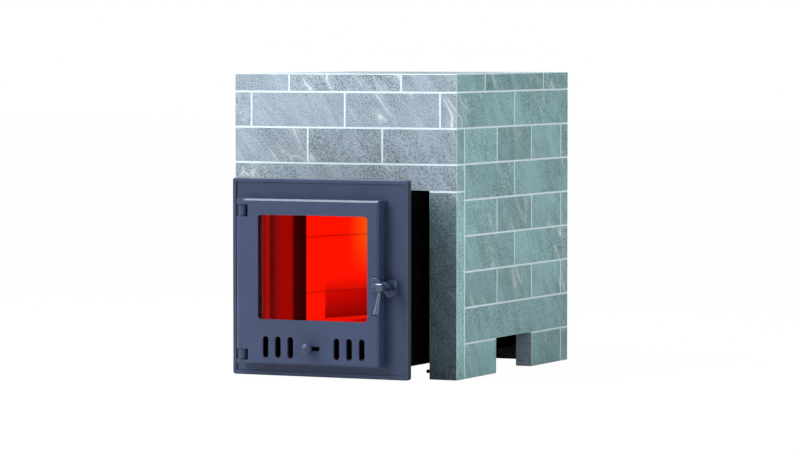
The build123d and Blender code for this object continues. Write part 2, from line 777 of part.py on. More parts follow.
def ash_pan_handle():
    """Bent round bar on the front of the pan."""
    z = (PAN_BOTTOM + PAN_TOP) / 2
    half = PAN_HANDLE_W / 2
    y = PAN_FRONT - PAN_HANDLE_OUT
    path = FilletPolyline((-half, PAN_FRONT, z), (-half, y, z), (half, y, z), (half, PAN_FRONT, z), radius=10)
    section = Plane(origin=(-half, PAN_FRONT, z), z_dir=(0, -1, 0)) * Circle(PAN_HANDLE_R)
    return solids_of(sweep(section, path))


def hearth_floor():
    """Refractory floor with a stepped opening for the grate."""
    half = BODY_W / 2 - BODY_T - HEARTH_GAP
    y0 = BODY_FRONT + BODY_T + HEARTH_GAP
    y1 = BODY_REAR - BODY_T - HEARTH_GAP
    floor = block(-half, half, y0, y1, HEARTH_BOTTOM, HEARTH_TOP)
    x = GRATE_W / 2 + GRATE_GAP
    y0, y1 = GRATE_FRONT - GRATE_GAP, GRATE_REAR + GRATE_GAP
    floor -= block(-x, x, y0, y1, HEARTH_TOP - GRATE_T, HEARTH_TOP)
    ledge = GRATE_LEDGE
    floor -= block(-x + ledge, x - ledge, y0 + ledge, y1 - ledge, HEARTH_BOTTOM, HEARTH_TOP)
    return solids_of(floor)


def grate():
    """Cast grate: a frame with long slots between its bars."""
    half = GRATE_W / 2
    plate = block(-half, half, GRATE_FRONT, GRATE_REAR, HEARTH_TOP - GRATE_T, HEARTH_TOP)
    pitch = (GRATE_W - 2 * GRATE_LEDGE) / GRATE_BARS
    for i in range(GRATE_BARS):
        x = -half + GRATE_LEDGE + pitch * (i + 0.5)
        for y0, y1 in spans(GRATE_FRONT + 20, GRATE_REAR - 20, [(GRATE_FRONT + GRATE_REAR) / 2]):
            y0, y1 = y0 + 4, y1 - 4
            plate -= block(x - GRATE_SLOT / 2, x + GRATE_SLOT / 2, y0, y1, HEARTH_BOTTOM, HEARTH_TOP)
    return solids_of(plate)


def lining(z0, z1):
    """One course of the firebrick lining, straight at the front and drawn in towards the rear."""
    inner = make_face(
        Polyline(
            (-LINING_HALF, LINING_FRONT),
            (-LINING_HALF, LINING_BEND),
            (-LINING_REAR_HALF, LINING_REAR),
            (LINING_REAR_HALF, LINING_REAR),
            (LINING_HALF, LINING_BEND),
            (LINING_HALF, LINING_FRONT),
            close=True,
        )
    )
    outer = offset(inner, LINING_T, kind=Kind.INTERSECTION)
    course = extrude(Pos(0, 0, z0) * (outer - inner), z1 - z0, dir=(0, 0, 1))
    far = BODY_W
    course -= block(-far, far, 0, LINING_FRONT, z0, z1)
    seam = LINING_SEAM / 2
    course -= block(-far, far, LINING_BEND - seam, LINING_BEND + seam, z0, z1)
    for x in (-LINING_REAR_HALF, LINING_REAR_HALF):
        course -= block(x - seam, x + seam, LINING_REAR - LINING_T, BODY_REAR, z0, z1)
    return solids_of(course)


def baffle():
    half = LINING_HALF + LINING_T / 2
    rear = LINING_REAR + LINING_T
    plate = block(-half, half, BAFFLE_FRONT, LINING_BEND, LINING_TOP, LINING_TOP + BAFFLE_T)
    plate += block(
        -LINING_REAR_HALF, LINING_REAR_HALF, BAFFLE_FRONT, rear, LINING_TOP, LINING_TOP + BAFFLE_T
    )
    taper = make_face(
        Polyline(
            (-half, LINING_BEND), (-LINING_REAR_HALF, rear), (LINING_REAR_HALF, rear), (half, LINING_BEND),
            close=True,
        )
    )
    plate += extrude(Pos(0, 0, LINING_TOP) * taper, BAFFLE_T, dir=(0, 0, 1))
    return solids_of(plate)


def stone_chamber():
    """Open steel box above the fire, for the stones."""
    half = CHAMBER_HALF
    t = CHAMBER_T
    box = block(-half, half, CHAMBER_FRONT, CHAMBER_REAR, BODY_TOP, TOP_UNDER)
    box -= block(-half + t, half - t, CHAMBER_FRONT + t, CHAMBER_REAR - t, BODY_TOP + t, TOP_UNDER)
    return solids_of(box - upright(0, FLUE_Y, FLUE_BORE_R + FLUE_T, BODY_TOP, BODY_TOP + t))


def chamber_flange():
    """Flange round the chamber, under the inner edges of the top slabs."""
    top = COURSES * PITCH
    inner = CHAMBER_HALF
    outer = inner + FLANGE
    ring = block(-outer, outer, CHAMBER_FRONT - FLANGE, CHAMBER_REAR + FLANGE, top - CHAMBER_T, top)
    return solids_of(ring - block(-inner, inner, CHAMBER_FRONT, CHAMBER_REAR, top - CHAMBER_T, top))


def flue_pipe():
    """Pipe from the firebox up through the stones to the collar."""
    pipe = upright(0, FLUE_Y, FLUE_BORE_R + FLUE_T, BODY_TOP, CASE_TOP - SOCKET_DEPTH)
    return solids_of(pipe - upright(0, FLUE_Y, FLUE_BORE_R - FLUE_T, BODY_TOP, CASE_TOP))


def flue_collar():
    """Socket for the chimney pipe, with its rim flush with the top."""
    collar = upright(0, FLUE_Y, FLUE_BORE_R + FLUE_T, CASE_TOP - SOCKET_DEPTH, CASE_TOP)
    return solids_of(collar - upright(0, FLUE_Y, FLUE_BORE_R, CASE_TOP - SOCKET_DEPTH, CASE_TOP))


def steel_top():
    """Top plate in the ring of slabs, with the lid's opening and the collar's hole."""
    x = TOP_FRONT_JOINT - TOP_GAP
    y0, y1 = TOP_SIDE_JOINTS[0] + TOP_GAP, TOP_SIDE_JOINTS[1] - TOP_GAP
    top = block(-x, x, y0, y1, TOP_UNDER, CASE_TOP)
    gap = LID_GAP
    top -= block(
        -LID_HALF - gap, LID_HALF + gap, LID_FRONT - gap, LID_REAR + gap + 2 * LID_KNUCKLE_R,
        TOP_UNDER, CASE_TOP
    )
    top -= upright(0, FLUE_Y, FLUE_BORE_R + FLUE_T, TOP_UNDER, CASE_TOP)
    ledge = TOP_UNDER - LID_SEAT
    half = LID_HALF - 2 * LID_LEDGE
    top += block(-half, half, LID_FRONT - LID_LEDGE, LID_FRONT + LID_LEDGE - 2, ledge - LID_LEDGE_T, ledge)
    top += block(-half, half, LID_FRONT - LID_LEDGE, LID_FRONT - gap, ledge, TOP_UNDER)
    y, z = lid_hinge_y(), lid_hinge_z()
    for side in (-1, 1):
        inner = side * (LID_HALF + gap)
        x0, x1 = sorted((inner, inner + side * LID_LUG_T))
        top += block(x0, x1, y - LID_KNUCKLE_R, y + LID_KNUCKLE_R, z - LID_KNUCKLE_R, CASE_TOP)
        top -= crosswise(y, z, LID_PIN_R, x0, x1)
    return solids_of(top)


def lid_hinge_y():
    return LID_REAR + LID_KNUCKLE_R


def lid_hinge_z():
    return CASE_TOP - LID_KNUCKLE_R


def lid():
    """Flat steel lid over the stones, with two hinge knuckles at its rear edge."""
    plate = block(-LID_HALF, LID_HALF, LID_FRONT, LID_REAR, CASE_TOP - LID_T, CASE_TOP)
    y, z = lid_hinge_y(), lid_hinge_z()
    for side in (-1, 1):
        x0 = side * LID_KNUCKLE_X - LID_KNUCKLE_L / 2
        plate += crosswise(y, z, LID_KNUCKLE_R, x0, x0 + LID_KNUCKLE_L)
        plate += block(x0, x0 + LID_KNUCKLE_L, LID_REAR, y, CASE_TOP - LID_T, CASE_TOP)
        plate -= crosswise(y, z, LID_PIN_R + LID_FIT, x0, x0 + LID_KNUCKLE_L)
    grip = LID_GRIP_W / 2
    plate -= block(
        -grip, grip, LID_FRONT + 10, LID_FRONT + 10 + LID_GRIP_D, CASE_TOP - LID_T, CASE_TOP
    )
    return solids_of(plate)


def lid_grip():
    """Round bar across the finger opening of the lid."""
    y = LID_FRONT + 10 + LID_GRIP_D / 2
    z = CASE_TOP - LID_GRIP_R
    return solids_of(crosswise(y, z, LID_GRIP_R, -LID_GRIP_W / 2, LID_GRIP_W / 2))


def lid_hinge_pin():
    """Pin along the lid's rear edge, held at its ends in the top plate's lugs."""
    end = LID_HALF + LID_GAP + LID_LUG_T
    return solids_of(crosswise(lid_hinge_y(), lid_hinge_z(), LID_PIN_R, -end, end))


wall_slabs = {
    "left_wall_legs": side_slabs(-1, 1, 1),
    "left_wall_lintel": side_slabs(-1, 2, 2),
    "left_wall_slabs": side_slabs(-1, 3, COURSES),
    "right_wall_legs": side_slabs(1, 1, 1),
    "right_wall_lintel": side_slabs(1, 2, 2),
    "right_wall_slabs": side_slabs(1, 3, COURSES),
    "rear_wall_slabs": cross_slabs(CASE_D - WALL, CASE_D, 1, COURSES),
    "front_leg_left": front_leg(-1),
    "front_leg_right": front_leg(1),
    "front_lintel": front_lintel(),
    "front_slabs": cross_slabs(0, WALL, 7, COURSES),
}
corners, middles = top_slabs()
every_wall_slab = [slab for group in wall_slabs.values() for slab in group]

nodes = dict(wall_slabs)
nodes["top_corner_slabs"] = corners
nodes["top_middle_slabs"] = middles
nodes["mortar_walls"] = wall_mortar(every_wall_slab)
nodes["mortar_top"] = top_mortar(corners + middles)

nodes["levelling_feet"] = levelling_feet()
nodes["firebox_shell"] = firebox_shell()
nodes["firebox_front"] = firebox_front()
nodes["ash_channel"] = ash_channel()
nodes["ash_pan"] = ash_pan()
nodes["ash_pan_handle"] = ash_pan_handle()
nodes["hearth_floor"] = hearth_floor()
nodes["grate"] = grate()
nodes["lining_lower"] = lining(HEARTH_TOP, LINING_SEAMS[0])
nodes["lining_middle"] = lining(*LINING_SEAMS)
nodes["lining_upper"] = lining(LINING_SEAMS[1], LINING_TOP)
nodes["baffle"] = baffle()
nodes["stone_chamber"] = stone_chamber()
nodes["chamber_flange"] = chamber_flange()
nodes["flue_pipe"] = flue_pipe()
nodes["flue_collar"] = flue_collar()
nodes["steel_top"] = steel_top()
nodes["lid"] = lid()
nodes["lid_grip"] = lid_grip()
nodes["lid_hinge_pin"] = lid_hinge_pin()

nodes["tunnel_shroud"] = tunnel_shroud()
nodes["fire_tunnel_front"] = fire_tunnel(TUNNEL_SPLIT, PLATE_BACK)
nodes["fire_tunnel_rear"] = fire_tunnel(-BODY_FRONT, TUNNEL_SPLIT)
nodes["air_box"] = air_box()
nodes["front_plate"] = front_plate()
nodes["plate_bolts"] = plate_bolts()
nodes["hinge_pin_lower"] = hinge_pin(*pin_span(LOWER_RECESS))
nodes["hinge_pin_upper"] = hinge_pin(*pin_span(UPPER_RECESS))
nodes["latch_keeper"] = latch_keeper()
nodes["keeper_screw"] = keeper_screw()

nodes["door_casting"] = door_casting()
nodes["door_glass"] = door_glass()
nodes["glass_gasket"] = glass_gasket()
nodes["glass_clips"] = glass_clips()
nodes["clip_screws"] = clip_screws()
nodes["door_seal"] = door_seal()
nodes["slider_rails"] = slider_rails()
nodes["air_slider"] = air_slider()
nodes["knob_stem"] = knob_stem()
nodes["air_knob"] = air_knob()
nodes["latch_washer"] = latch_washer()
nodes["latch_bolt"] = latch_bolt()
nodes["latch_arm"] = latch_arm()
nodes["handle_hub"] = handle_hub()
nodes["handle_grip"] = handle_grip()

# The origin goes to the middle of the whole object's footprint, on the floor.
whole = Compound([solid for shapes in nodes.values() for shape in shapes for solid in shape.solids()])
box = whole.bounding_box()
shift = -(box.min.Y + box.max.Y) / 2
print("shift along Y", round(shift, 4), "hinge", round(shift - HINGE_P, 4))

for name, shapes in nodes.items():
    solids = [Pos(0, shift, 0) * solid for shape in shapes for solid in shape.solids()]
    export_step(solids[0] if len(solids) == 1 else Compound(solids), "parts/" + name + ".step")
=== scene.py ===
import math
import random

import bmesh
import bpy
from bpy.props import FloatProperty, FloatVectorProperty, PointerProperty
from mathutils import Matrix, Vector


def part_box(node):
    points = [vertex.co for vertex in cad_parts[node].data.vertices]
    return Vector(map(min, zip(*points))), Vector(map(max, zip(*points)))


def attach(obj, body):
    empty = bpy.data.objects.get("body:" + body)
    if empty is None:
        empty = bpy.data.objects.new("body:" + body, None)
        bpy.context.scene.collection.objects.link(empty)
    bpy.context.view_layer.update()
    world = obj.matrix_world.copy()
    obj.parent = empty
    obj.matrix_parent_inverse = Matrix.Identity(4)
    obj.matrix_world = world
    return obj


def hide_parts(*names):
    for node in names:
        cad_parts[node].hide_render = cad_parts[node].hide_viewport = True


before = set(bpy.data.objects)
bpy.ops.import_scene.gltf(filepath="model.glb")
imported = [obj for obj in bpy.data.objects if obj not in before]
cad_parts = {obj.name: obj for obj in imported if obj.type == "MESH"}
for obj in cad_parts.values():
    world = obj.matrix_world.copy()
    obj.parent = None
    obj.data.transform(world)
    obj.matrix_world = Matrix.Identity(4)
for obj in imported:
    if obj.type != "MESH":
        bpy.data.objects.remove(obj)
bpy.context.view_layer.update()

bl_info = {
    "name": "Soapstone Sauna Stove",
    "version": (1, 0, 0),
    "blender": (4, 5, 0),
    "location": "View3D > Sidebar > Stove",
    "description": "Dresses a wood-fired sauna stove in a soapstone casing",
    "category": "Object",
}

MM = 0.001

# Faces and places read from the frame.
CASING_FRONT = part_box("front_lintel")[0][1]
PLATE_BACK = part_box("fire_tunnel_front")[0][1]
LINING_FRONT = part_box("lining_middle")[0][1]
LINING_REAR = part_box("lining_middle")[1][1]
LOWER_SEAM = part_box("lining_lower")[1][2]
UPPER_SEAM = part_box("lining_middle")[1][2]
HEARTH_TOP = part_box("hearth_floor")[1][2]
LEG_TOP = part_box("front_leg_right")[1][2]

SLAB_NODES = (
    "left_wall_legs", "left_wall_lintel", "left_wall_slabs",
    "right_wall_legs", "right_wall_lintel", "right_wall_slabs",
    "rear_wall_slabs", "front_lintel", "front_slabs",
    "top_corner_slabs", "top_middle_slabs",
)
LEG_NODES = ("front_leg_left", "front_leg_right")
SLAB_SEED = 3
LEG_SEED = 40

# Stone: the block that the slabs are cut from, the direction across its leaning sheets, how far its
# patterns are squeezed across them and stretched along them, and a cloud's size before that.
STONE_BLOCK = 9000 * MM
SHEETS_ACROSS = Vector((1.4, 1.4, 1.0)).normalized()
SHEET_SQUEEZE = 2.6
SHEET_STRETCH = 0.55
CLOUD = 1000 / 12 * MM

# Sizes of the patterns in the other finishes. Tool marks and scratches are really finer than a
# millimetre, and are drawn coarser so that they show.
MORTAR_SAND = 1.43 * MM
# Patches of the painted highlight on the slabs' arrises.
ARRIS_HIGHLIGHT_PATCH = 6.25 * MM
PAINT_PATCH = 83 * MM
DUST_PATCH = 25 * MM
TOOL_MARK = 2 * MM
SCRATCH_WIDTH = 1.1 * MM
SCRATCH_LENGTH = 71 * MM
SMOKE_PATCH = 110 * MM
ASH_PATCH = 16.7 * MM

# Where the fire's light, painted shade and soot fall: depths behind the lining's front edge, heights over
# the ground, widths, and how far the tunnel's bands reach behind the casing's front.
LINING_SHADE = 76 * MM
LINING_BEND = 200 * MM
FLAME_FOOT = 260 * MM
FLAME_TOP = 380 * MM
BEND_SHADE = 40 * MM
SEAM_SOOT = 3.5 * MM
REVEAL_SHADE_REACH = 6 * MM
SILL_SHADE = 8 * MM
TUNNEL_BEHIND = 64 * MM

# Shares of the lining's depth: how soft its shade and its bend are, and where the flame lights it.
SHADE_EDGE = 0.01
BEND_EDGE = 0.004
FLAME_NEAR = 0.17
FLAME_FAR = 0.31

# A wave texture runs through this many radians in a metre at a scale of 1.
WAVE_RATE = 20

# Meshes: how near points are merged, which angles are flat, sharp or smooth, and the steps of a round.
MERGE_REACH = 0.001 * MM
FLAT_DEGREES = 0.5
SHARP_DEGREES = 40
SMOOTH_DEGREES = 35
SMALL_ROUND_STEPS = 2
ROPE_ROUND_STEPS = 3

# The photograph's frame and the lens that was solved from it.
IMAGE_WIDTH = 800
FOCAL_PIXELS = 3932.0
SENSOR_MM = 36.0
VIEW_REACH = 200.0

# Each lamp's place and the width of its square; all aim at the middle of the stove.
KEY_PLACE, KEY_WIDTH = (-2.6, -4.6, 3.4), 2.6
SIDE_PLACE, SIDE_WIDTH = (5.2, -1.6, 2.6), 2.6
TOP_PLACE, TOP_WIDTH = (-1.3, -0.7, 3.8), 1.6
LAMP_AIM = Vector((0.0, -0.1, 0.4))

# The floor's half width, and how much of its white is its own and takes no shadow.
FLOOR_REACH = 30.0
FLOOR_OWN_WHITE = 0.985

# Sockets of a Mix node, where several share a name.
SHARE = 0
LEVEL_A, LEVEL_B = 2, 3
COLOUR_A, COLOUR_B = 6, 7
MIXED_LEVEL = 0
MIXED_COLOUR = 2


def linear(code):
    """Linear red, green and blue of an sRGB hex colour."""
    values = [int(code[i:i + 2], 16) / 255 for i in (1, 3, 5)]
    return tuple(v / 12.92 if v <= 0.04045 else ((v + 0.055) / 1.055) ** 2.4 for v in values)


def opaque(rgb):
    """The four values of a colour that nothing shows through."""
    return (*rgb, 1.0)


class StoveFinishes(bpy.types.PropertyGroup):
    """Colours of the stove's finishes."""

    # Painted light: one soapstone gets a lit tone for the front, rear and top faces and a teal lit tone for
    # the left and right faces.
    stone_front_lit: FloatVectorProperty(
        name="Front slabs", description="Soapstone seen on the front, rear and top", subtype="COLOR",
        default=linear("#8594A0"))
    stone_side_lit: FloatVectorProperty(
        name="Side slabs", description="Soapstone seen on the left and right", subtype="COLOR",
        default=linear("#7FA3A6"))
    # Painted shade: the legs' front faces beside the plate get a dark tone for the shade that falls there.
    stone_leg_shaded: FloatVectorProperty(
        name="Front legs", description="Soapstone of the legs beside the plate", subtype="COLOR",
        default=linear("#43555D"))
    vein: FloatVectorProperty(
        name="Veins", description="Talc and carbonate veins", subtype="COLOR",
        default=linear("#D8E4EA"))
    mortar: FloatVectorProperty(
        name="Mortar", description="Pale joints between the slabs", subtype="COLOR",
        default=linear("#C6D6DD"))
    iron: FloatVectorProperty(
        name="Cast iron", description="Heat-proof paint on the door and its plate", subtype="COLOR",
        default=linear("#2B3752"))
    steel: FloatVectorProperty(
        name="Turned steel", description="Grip, hub, stem, pins and screws", subtype="COLOR",
        default=linear("#4C5468"))
    glow: FloatVectorProperty(
        name="Glow", description="Firebrick lit by the fire", subtype="COLOR",
        default=linear("#FF1000"))
    flame: FloatVectorProperty(
        name="Flame side", description="The hottest part of the lining", subtype="COLOR",
        default=linear("#FF5200"))
    ember: FloatVectorProperty(
        name="Ember", description="Brightest band of the tunnel's walls", subtype="COLOR",
        default=linear("#AB0F06"))


class StoveSizes(bpy.types.PropertyGroup):
    """Sizes that the dressing adds to the frame."""

    arris: FloatProperty(
        name="Arris", description="Width of the dressed edge of a slab", default=1.2 * MM,
        subtype="DISTANCE", unit="LENGTH")
    vein_spacing: FloatProperty(
        name="Vein spacing", description="Distance between the veins of a slab", default=110 * MM,
        subtype="DISTANCE", unit="LENGTH")
    speck: FloatProperty(
        name="Speck", description="Size of the dark specks in the stone", default=3.0 * MM,
        subtype="DISTANCE", unit="LENGTH")
    casting_grain: FloatProperty(
        name="Casting grain", description="Grain left by the sand mould", default=1.2 * MM,
        subtype="DISTANCE", unit="LENGTH")
    edge_round: FloatProperty(
        name="Casting edge", description="Round left on the edges of small castings", default=1.5 * MM,
        subtype="DISTANCE", unit="LENGTH")
    rope_round: FloatProperty(
        name="Rope edge", description="Round of the seal's section", default=2.6 * MM,
        subtype="DISTANCE", unit="LENGTH")
    gasket_round: FloatProperty(
        name="Gasket edge", description="Round of the glass gasket's section", default=0.6 * MM,
        subtype="DISTANCE", unit="LENGTH")
    rope_strand: FloatProperty(
        name="Rope strand", description="Width of one strand in the plait of the seals",
        default=1.885 * MM, subtype="DISTANCE", unit="LENGTH")


class StoveStage(bpy.types.PropertyGroup):
    """Camera, lamps and sky."""

    camera_place: FloatVectorProperty(
        name="Camera", description="Place of the camera", default=(4.8013, -10.1722, 0.951),
        subtype="TRANSLATION", unit="LENGTH")
    camera_turn: FloatProperty(
        name="Turn", description="Camera's angle to the right of the door's axis",
        default=math.radians(25.05), subtype="ANGLE", unit="ROTATION")
    camera_tilt: FloatProperty(
        name="Tilt", description="How far the camera looks down", default=math.radians(2.736),
        subtype="ANGLE", unit="ROTATION")
    key_power: FloatProperty(
        name="Key", description="Power of the main lamp", default=240.0, unit="POWER")
    fill_power: FloatProperty(
        name="Fill", description="Power of the side lamp", default=95.0, unit="POWER")
    top_power: FloatProperty(
        name="Top", description="Power of the lamp overhead", default=230.0, unit="POWER")
    sky: FloatProperty(name="Sky", description="Level of the light from all round", default=0.55)


# Patterns and shading that several finishes share


def add(tree, kind, sockets=None, stops=(), **settings):
    """Adds a node, sets its properties, its sockets by name or number, and a colour ramp's stops.

    A socket is linked where its value is another node's output. A stop is a position and a colour.
    """
    node = tree.nodes.new("ShaderNode" + kind)
    for name, value in settings.items():
        setattr(node, name, value)
    for name, value in (sockets or {}).items():
        if isinstance(value, bpy.types.NodeSocket):
            tree.links.new(value, node.inputs[name])
        else:
            node.inputs[name].default_value = value
    if stops:
        elements = node.color_ramp.elements
        elements[0].position, elements[0].color = stops[0][0], opaque(stops[0][1])
        elements[1].position, elements[1].color = stops[-1][0], opaque(stops[-1][1])
        for position, rgb in stops[1:-1]:
            elements.new(position).color = opaque(rgb)
    return node


def emptied_tree(owner):
    """The node tree of a material or of the sky, with no nodes in it."""
    owner.use_nodes = True
    owner.node_tree.nodes.clear()
    return owner.node_tree


def new_material(name):
    """A material, its empty node tree and the places on its piece."""
    material = bpy.data.materials.new(name)
    tree = emptied_tree(material)
    return material, tree, add(tree, "TexCoord").outputs["Object"]


def finish_surface(tree, **sockets):
    """The closing shader and output; sockets are named as the shader's own, with _ for a space."""
    named = {key.replace("_", " "): value for key, value in sockets.items()}
    shader = add(tree, "BsdfPrincipled", named)
    add(tree, "OutputMaterial", {"Surface": shader.outputs["BSDF"]})


def finish_lit(tree, colour, rough, strength=1.0):
    """The closing shader of a sooty surface whose colour is the fire's light on it."""
    finish_surface(tree, Base_Color=opaque(linear("#060101")), Roughness=rough, Emission_Color=colour,
                   Emission_Strength=strength, Specular_IOR_Level=0.0)


def shaded(tree, colour, value, low, high, start=0.0, end=1.0, where=None):
    """A colour times a level that goes from low to high while a value goes from start to end.

    Where a share is given, the level is kept to that share of the surface.
    """
    level = add(tree, "MapRange", {
        "Value": value, "From Min": start, "From Max": end, "To Min": low, "To Max": high}).outputs[0]
    if where is not None:
        level = add(tree, "Mix", {
            SHARE: where, LEVEL_A: 1.0, LEVEL_B: level}, data_type="FLOAT").outputs[MIXED_LEVEL]
    return add(tree, "VectorMath", {0: colour, "Scale": level}, operation="SCALE").outputs[0]


def apart(tree, value, middle):
    """How far a value is from a middle, on either side."""
    off = add(tree, "Math", {0: value, 1: middle}, operation="SUBTRACT").outputs[0]
    return add(tree, "Math", {0: off}, operation="ABSOLUTE").outputs[0]


def facing(tree, axis):
    """How squarely a face looks along an axis, either way, from 0 to 1."""
    normal = add(tree, "NewGeometry").outputs["True Normal"]
    part = add(tree, "SeparateXYZ", {0: normal}).outputs[axis]
    return add(tree, "Math", {0: part}, operation="ABSOLUTE").outputs[0]


def within(tree, place, box):
    """1 inside a box's width and height, whatever the depth."""
    parts = add(tree, "SeparateXYZ", {0: place}).outputs
    both = 1.0
    for axis, name in ((0, "X"), (2, "Z")):
        low, high = box[0][axis], box[1][axis]
        off = apart(tree, parts[name], (low + high) / 2)
        near = add(tree, "Math", {0: off, 1: (high - low) / 2}, operation="LESS_THAN").outputs[0]
        both = add(tree, "Math", {0: near, 1: both}, operation="MULTIPLY").outputs[0]
    return both


def along_depth(tree, place, near, far):
    """0 at the nearer depth and 1 at the farther one."""
    depth = add(tree, "SeparateXYZ", {0: place}).outputs["Y"]
    return add(tree, "MapRange", {"Value": depth, "From Min": near, "From Max": far}).outputs[0]


# Stone and mortar


def leaning_sheets(tree, own):
    """Places in the stone, squeezed across leaning sheets, in which its veins and clouds lie.

    The sheets cut the front and the sides as lines that fall to the right.
    """
    along = add(tree, "VectorMath", {0: own, 1: SHEETS_ACROSS}, operation="DOT_PRODUCT").outputs["Value"]
    squeezed = add(tree, "VectorMath", {
        0: SHEETS_ACROSS * SHEET_SQUEEZE, "Scale": along}, operation="SCALE").outputs[0]
    drawn = add(tree, "VectorMath", {0: own, "Scale": SHEET_STRETCH}, operation="SCALE").outputs[0]
    return add(tree, "VectorMath", {0: drawn, 1: squeezed}, operation="ADD").outputs[0]


def veins(tree, lean, patch, sizes):
    """How pale the stone is: thin lines, each in a faint haze, in some patches only."""
    sheet = add(tree, "TexNoise", {
        "Vector": lean, "Scale": 0.65 / sizes.vein_spacing, "Detail": 2.5, "Roughness": 0.5,
        "Distortion": 0.35}).outputs["Fac"]
    off = apart(tree, sheet, 0.5)
    line = add(tree, "MapRange", {"Value": off, "From Max": 0.02, "To Min": 0.75, "To Max": 0.0}).outputs[0]
    haze = add(tree, "MapRange", {"Value": off, "From Max": 0.12, "To Min": 0.25, "To Max": 0.0}).outputs[0]
    pale = add(tree, "Math", {0: line, 1: haze}, operation="MAXIMUM").outputs[0]
    where = add(tree, "MapRange", {"Value": patch, "From Min": 0.53, "From Max": 0.66}).outputs[0]
    return add(tree, "Math", {0: pale, 1: where}, operation="MULTIPLY").outputs[0]


def face_colour(tree, place, finishes, leg):
    """Painted light by face direction: one lit tone for the sides and another for the other faces, and on a
    leg's front a painted shade that deepens downwards.
    """
    frontal = add(tree, "Math", {0: 1.0, 1: facing(tree, "X")}, operation="SUBTRACT").outputs[0]
    front = finishes.stone_leg_shaded if leg else finishes.stone_front_lit
    base = add(tree, "Mix", {
        SHARE: frontal, COLOUR_A: opaque(finishes.stone_side_lit), COLOUR_B: opaque(front)},
        data_type="RGBA").outputs[MIXED_COLOUR]
    if leg:
        height = add(tree, "SeparateXYZ", {0: place}).outputs["Z"]
        # Painted shade on the leg's front, deepening downwards.
        base = shaded(tree, base, height, 0.95, 1.5, 0.55 * LEG_TOP, LEG_TOP, frontal)
    return base


def clouded(tree, base, lean, slab):
    """Cloudy tone along the sheets, and a tone of its own for each slab."""
    cloud = add(tree, "TexNoise", {
        "Vector": lean, "Scale": 1 / CLOUD, "Detail": 10.0, "Roughness": 0.75}).outputs["Fac"]
    cloud = add(tree, "MapRange", {
        "Value": cloud, "From Min": 0.34, "From Max": 0.66, "To Min": 0.72, "To Max": 1.12}).outputs[0]
    tone = add(tree, "SeparateXYZ", {0: slab}).outputs["X"]
    level = add(tree, "Math", {0: tone, 1: 0.26, 2: cloud}, operation="MULTIPLY_ADD").outputs[0]
    return add(tree, "VectorMath", {0: base, "Scale": level}, operation="SCALE").outputs[0]


def specked(tree, base, grain, patch):
    """Dark specks, denser in some patches."""
    limit = add(tree, "MapRange", {
        "Value": patch, "From Min": 0.35, "From Max": 0.65, "To Min": 0.57, "To Max": 0.47}).outputs[0]
    speck = add(tree, "Math", {0: grain, 1: limit}, operation="SUBTRACT").outputs[0]
    speck = add(tree, "MapRange", {"Value": speck, "From Max": 0.06, "To Max": 0.9}).outputs[0]
    dark = add(tree, "VectorMath", {0: base, "Scale": 0.25}, operation="SCALE").outputs[0]
    return add(tree, "Mix", {
        SHARE: speck, COLOUR_A: base, COLOUR_B: dark}, data_type="RGBA").outputs[MIXED_COLOUR]


def dotted(tree, base, own, sizes):
    """Pale dots, a little larger than the specks."""
    dots = add(tree, "TexNoise", {"Vector": own, "Scale": 0.6 / sizes.speck, "Detail": 3.0}).outputs["Fac"]
    dots = add(tree, "MapRange", {
        "Value": dots, "From Min": 0.48, "From Max": 0.62, "To Max": 0.75}).outputs[0]
    bright = add(tree, "VectorMath", {0: base, "Scale": 1.9}, operation="SCALE").outputs[0]
    return add(tree, "Mix", {
        SHARE: dots, COLOUR_A: base, COLOUR_B: bright}, data_type="RGBA").outputs[MIXED_COLOUR]


def soapstone(name, finishes, sizes, leg=False):
    """Honed soapstone: talc gives a soft sheen, with pale veins, cloudy tone and fine dark specks."""
    material, tree, place = new_material(name)
    slab = add(tree, "Attribute", attribute_name="slab").outputs["Vector"]
    shift = add(tree, "VectorMath", {0: slab, "Scale": STONE_BLOCK}, operation="SCALE").outputs[0]
    own = add(tree, "VectorMath", {0: place, 1: shift}, operation="ADD").outputs[0]
    lean = leaning_sheets(tree, own)
    patch = add(tree, "TexNoise", {
        "Vector": own, "Scale": 0.55 / sizes.vein_spacing, "Detail": 2.0}).outputs["Fac"]
    # The real specks are near a millimetre; they are drawn at three so that they show from the camera.
    grain = add(tree, "TexNoise", {
        "Vector": own, "Scale": 1.0 / sizes.speck, "Detail": 2.0, "Roughness": 0.6}).outputs["Fac"]
    # The base tone carries painted light by face direction, and painted shade on the legs.
    base = face_colour(tree, place, finishes, leg)
    base = clouded(tree, base, lean, slab)
    base = specked(tree, base, grain, patch)
    if leg:
        base = dotted(tree, base, own, sizes)
    colour = add(tree, "Mix", {
        SHARE: veins(tree, lean, patch, sizes), COLOUR_A: base, COLOUR_B: opaque(finishes.vein)},
        data_type="RGBA").outputs[MIXED_COLOUR]
    bump = add(tree, "Bump", {"Strength": 0.25, "Distance": 0.4 * MM, "Height": grain}).outputs[0]
    finish_surface(tree, Base_Color=colour, Roughness=0.62, Normal=bump, Specular_IOR_Level=0.35)
    return material


def highlit_arris(finishes):
    """Arris of a slab in a painted highlight: patches paler than the face, towards the mortar's tone."""
    material, tree, place = new_material("soapstone_arris_highlight")
    highlight_patch = add(tree, "TexNoise", {"Vector": place, "Scale": 1 / ARRIS_HIGHLIGHT_PATCH, "Detail": 4.0}).outputs["Fac"]
    colour = add(tree, "Mix", {
        SHARE: highlight_patch, COLOUR_A: opaque(finishes.stone_side_lit), COLOUR_B: opaque(finishes.mortar)},
        data_type="RGBA").outputs[MIXED_COLOUR]
    finish_surface(tree, Base_Color=colour, Roughness=0.7)
    return material


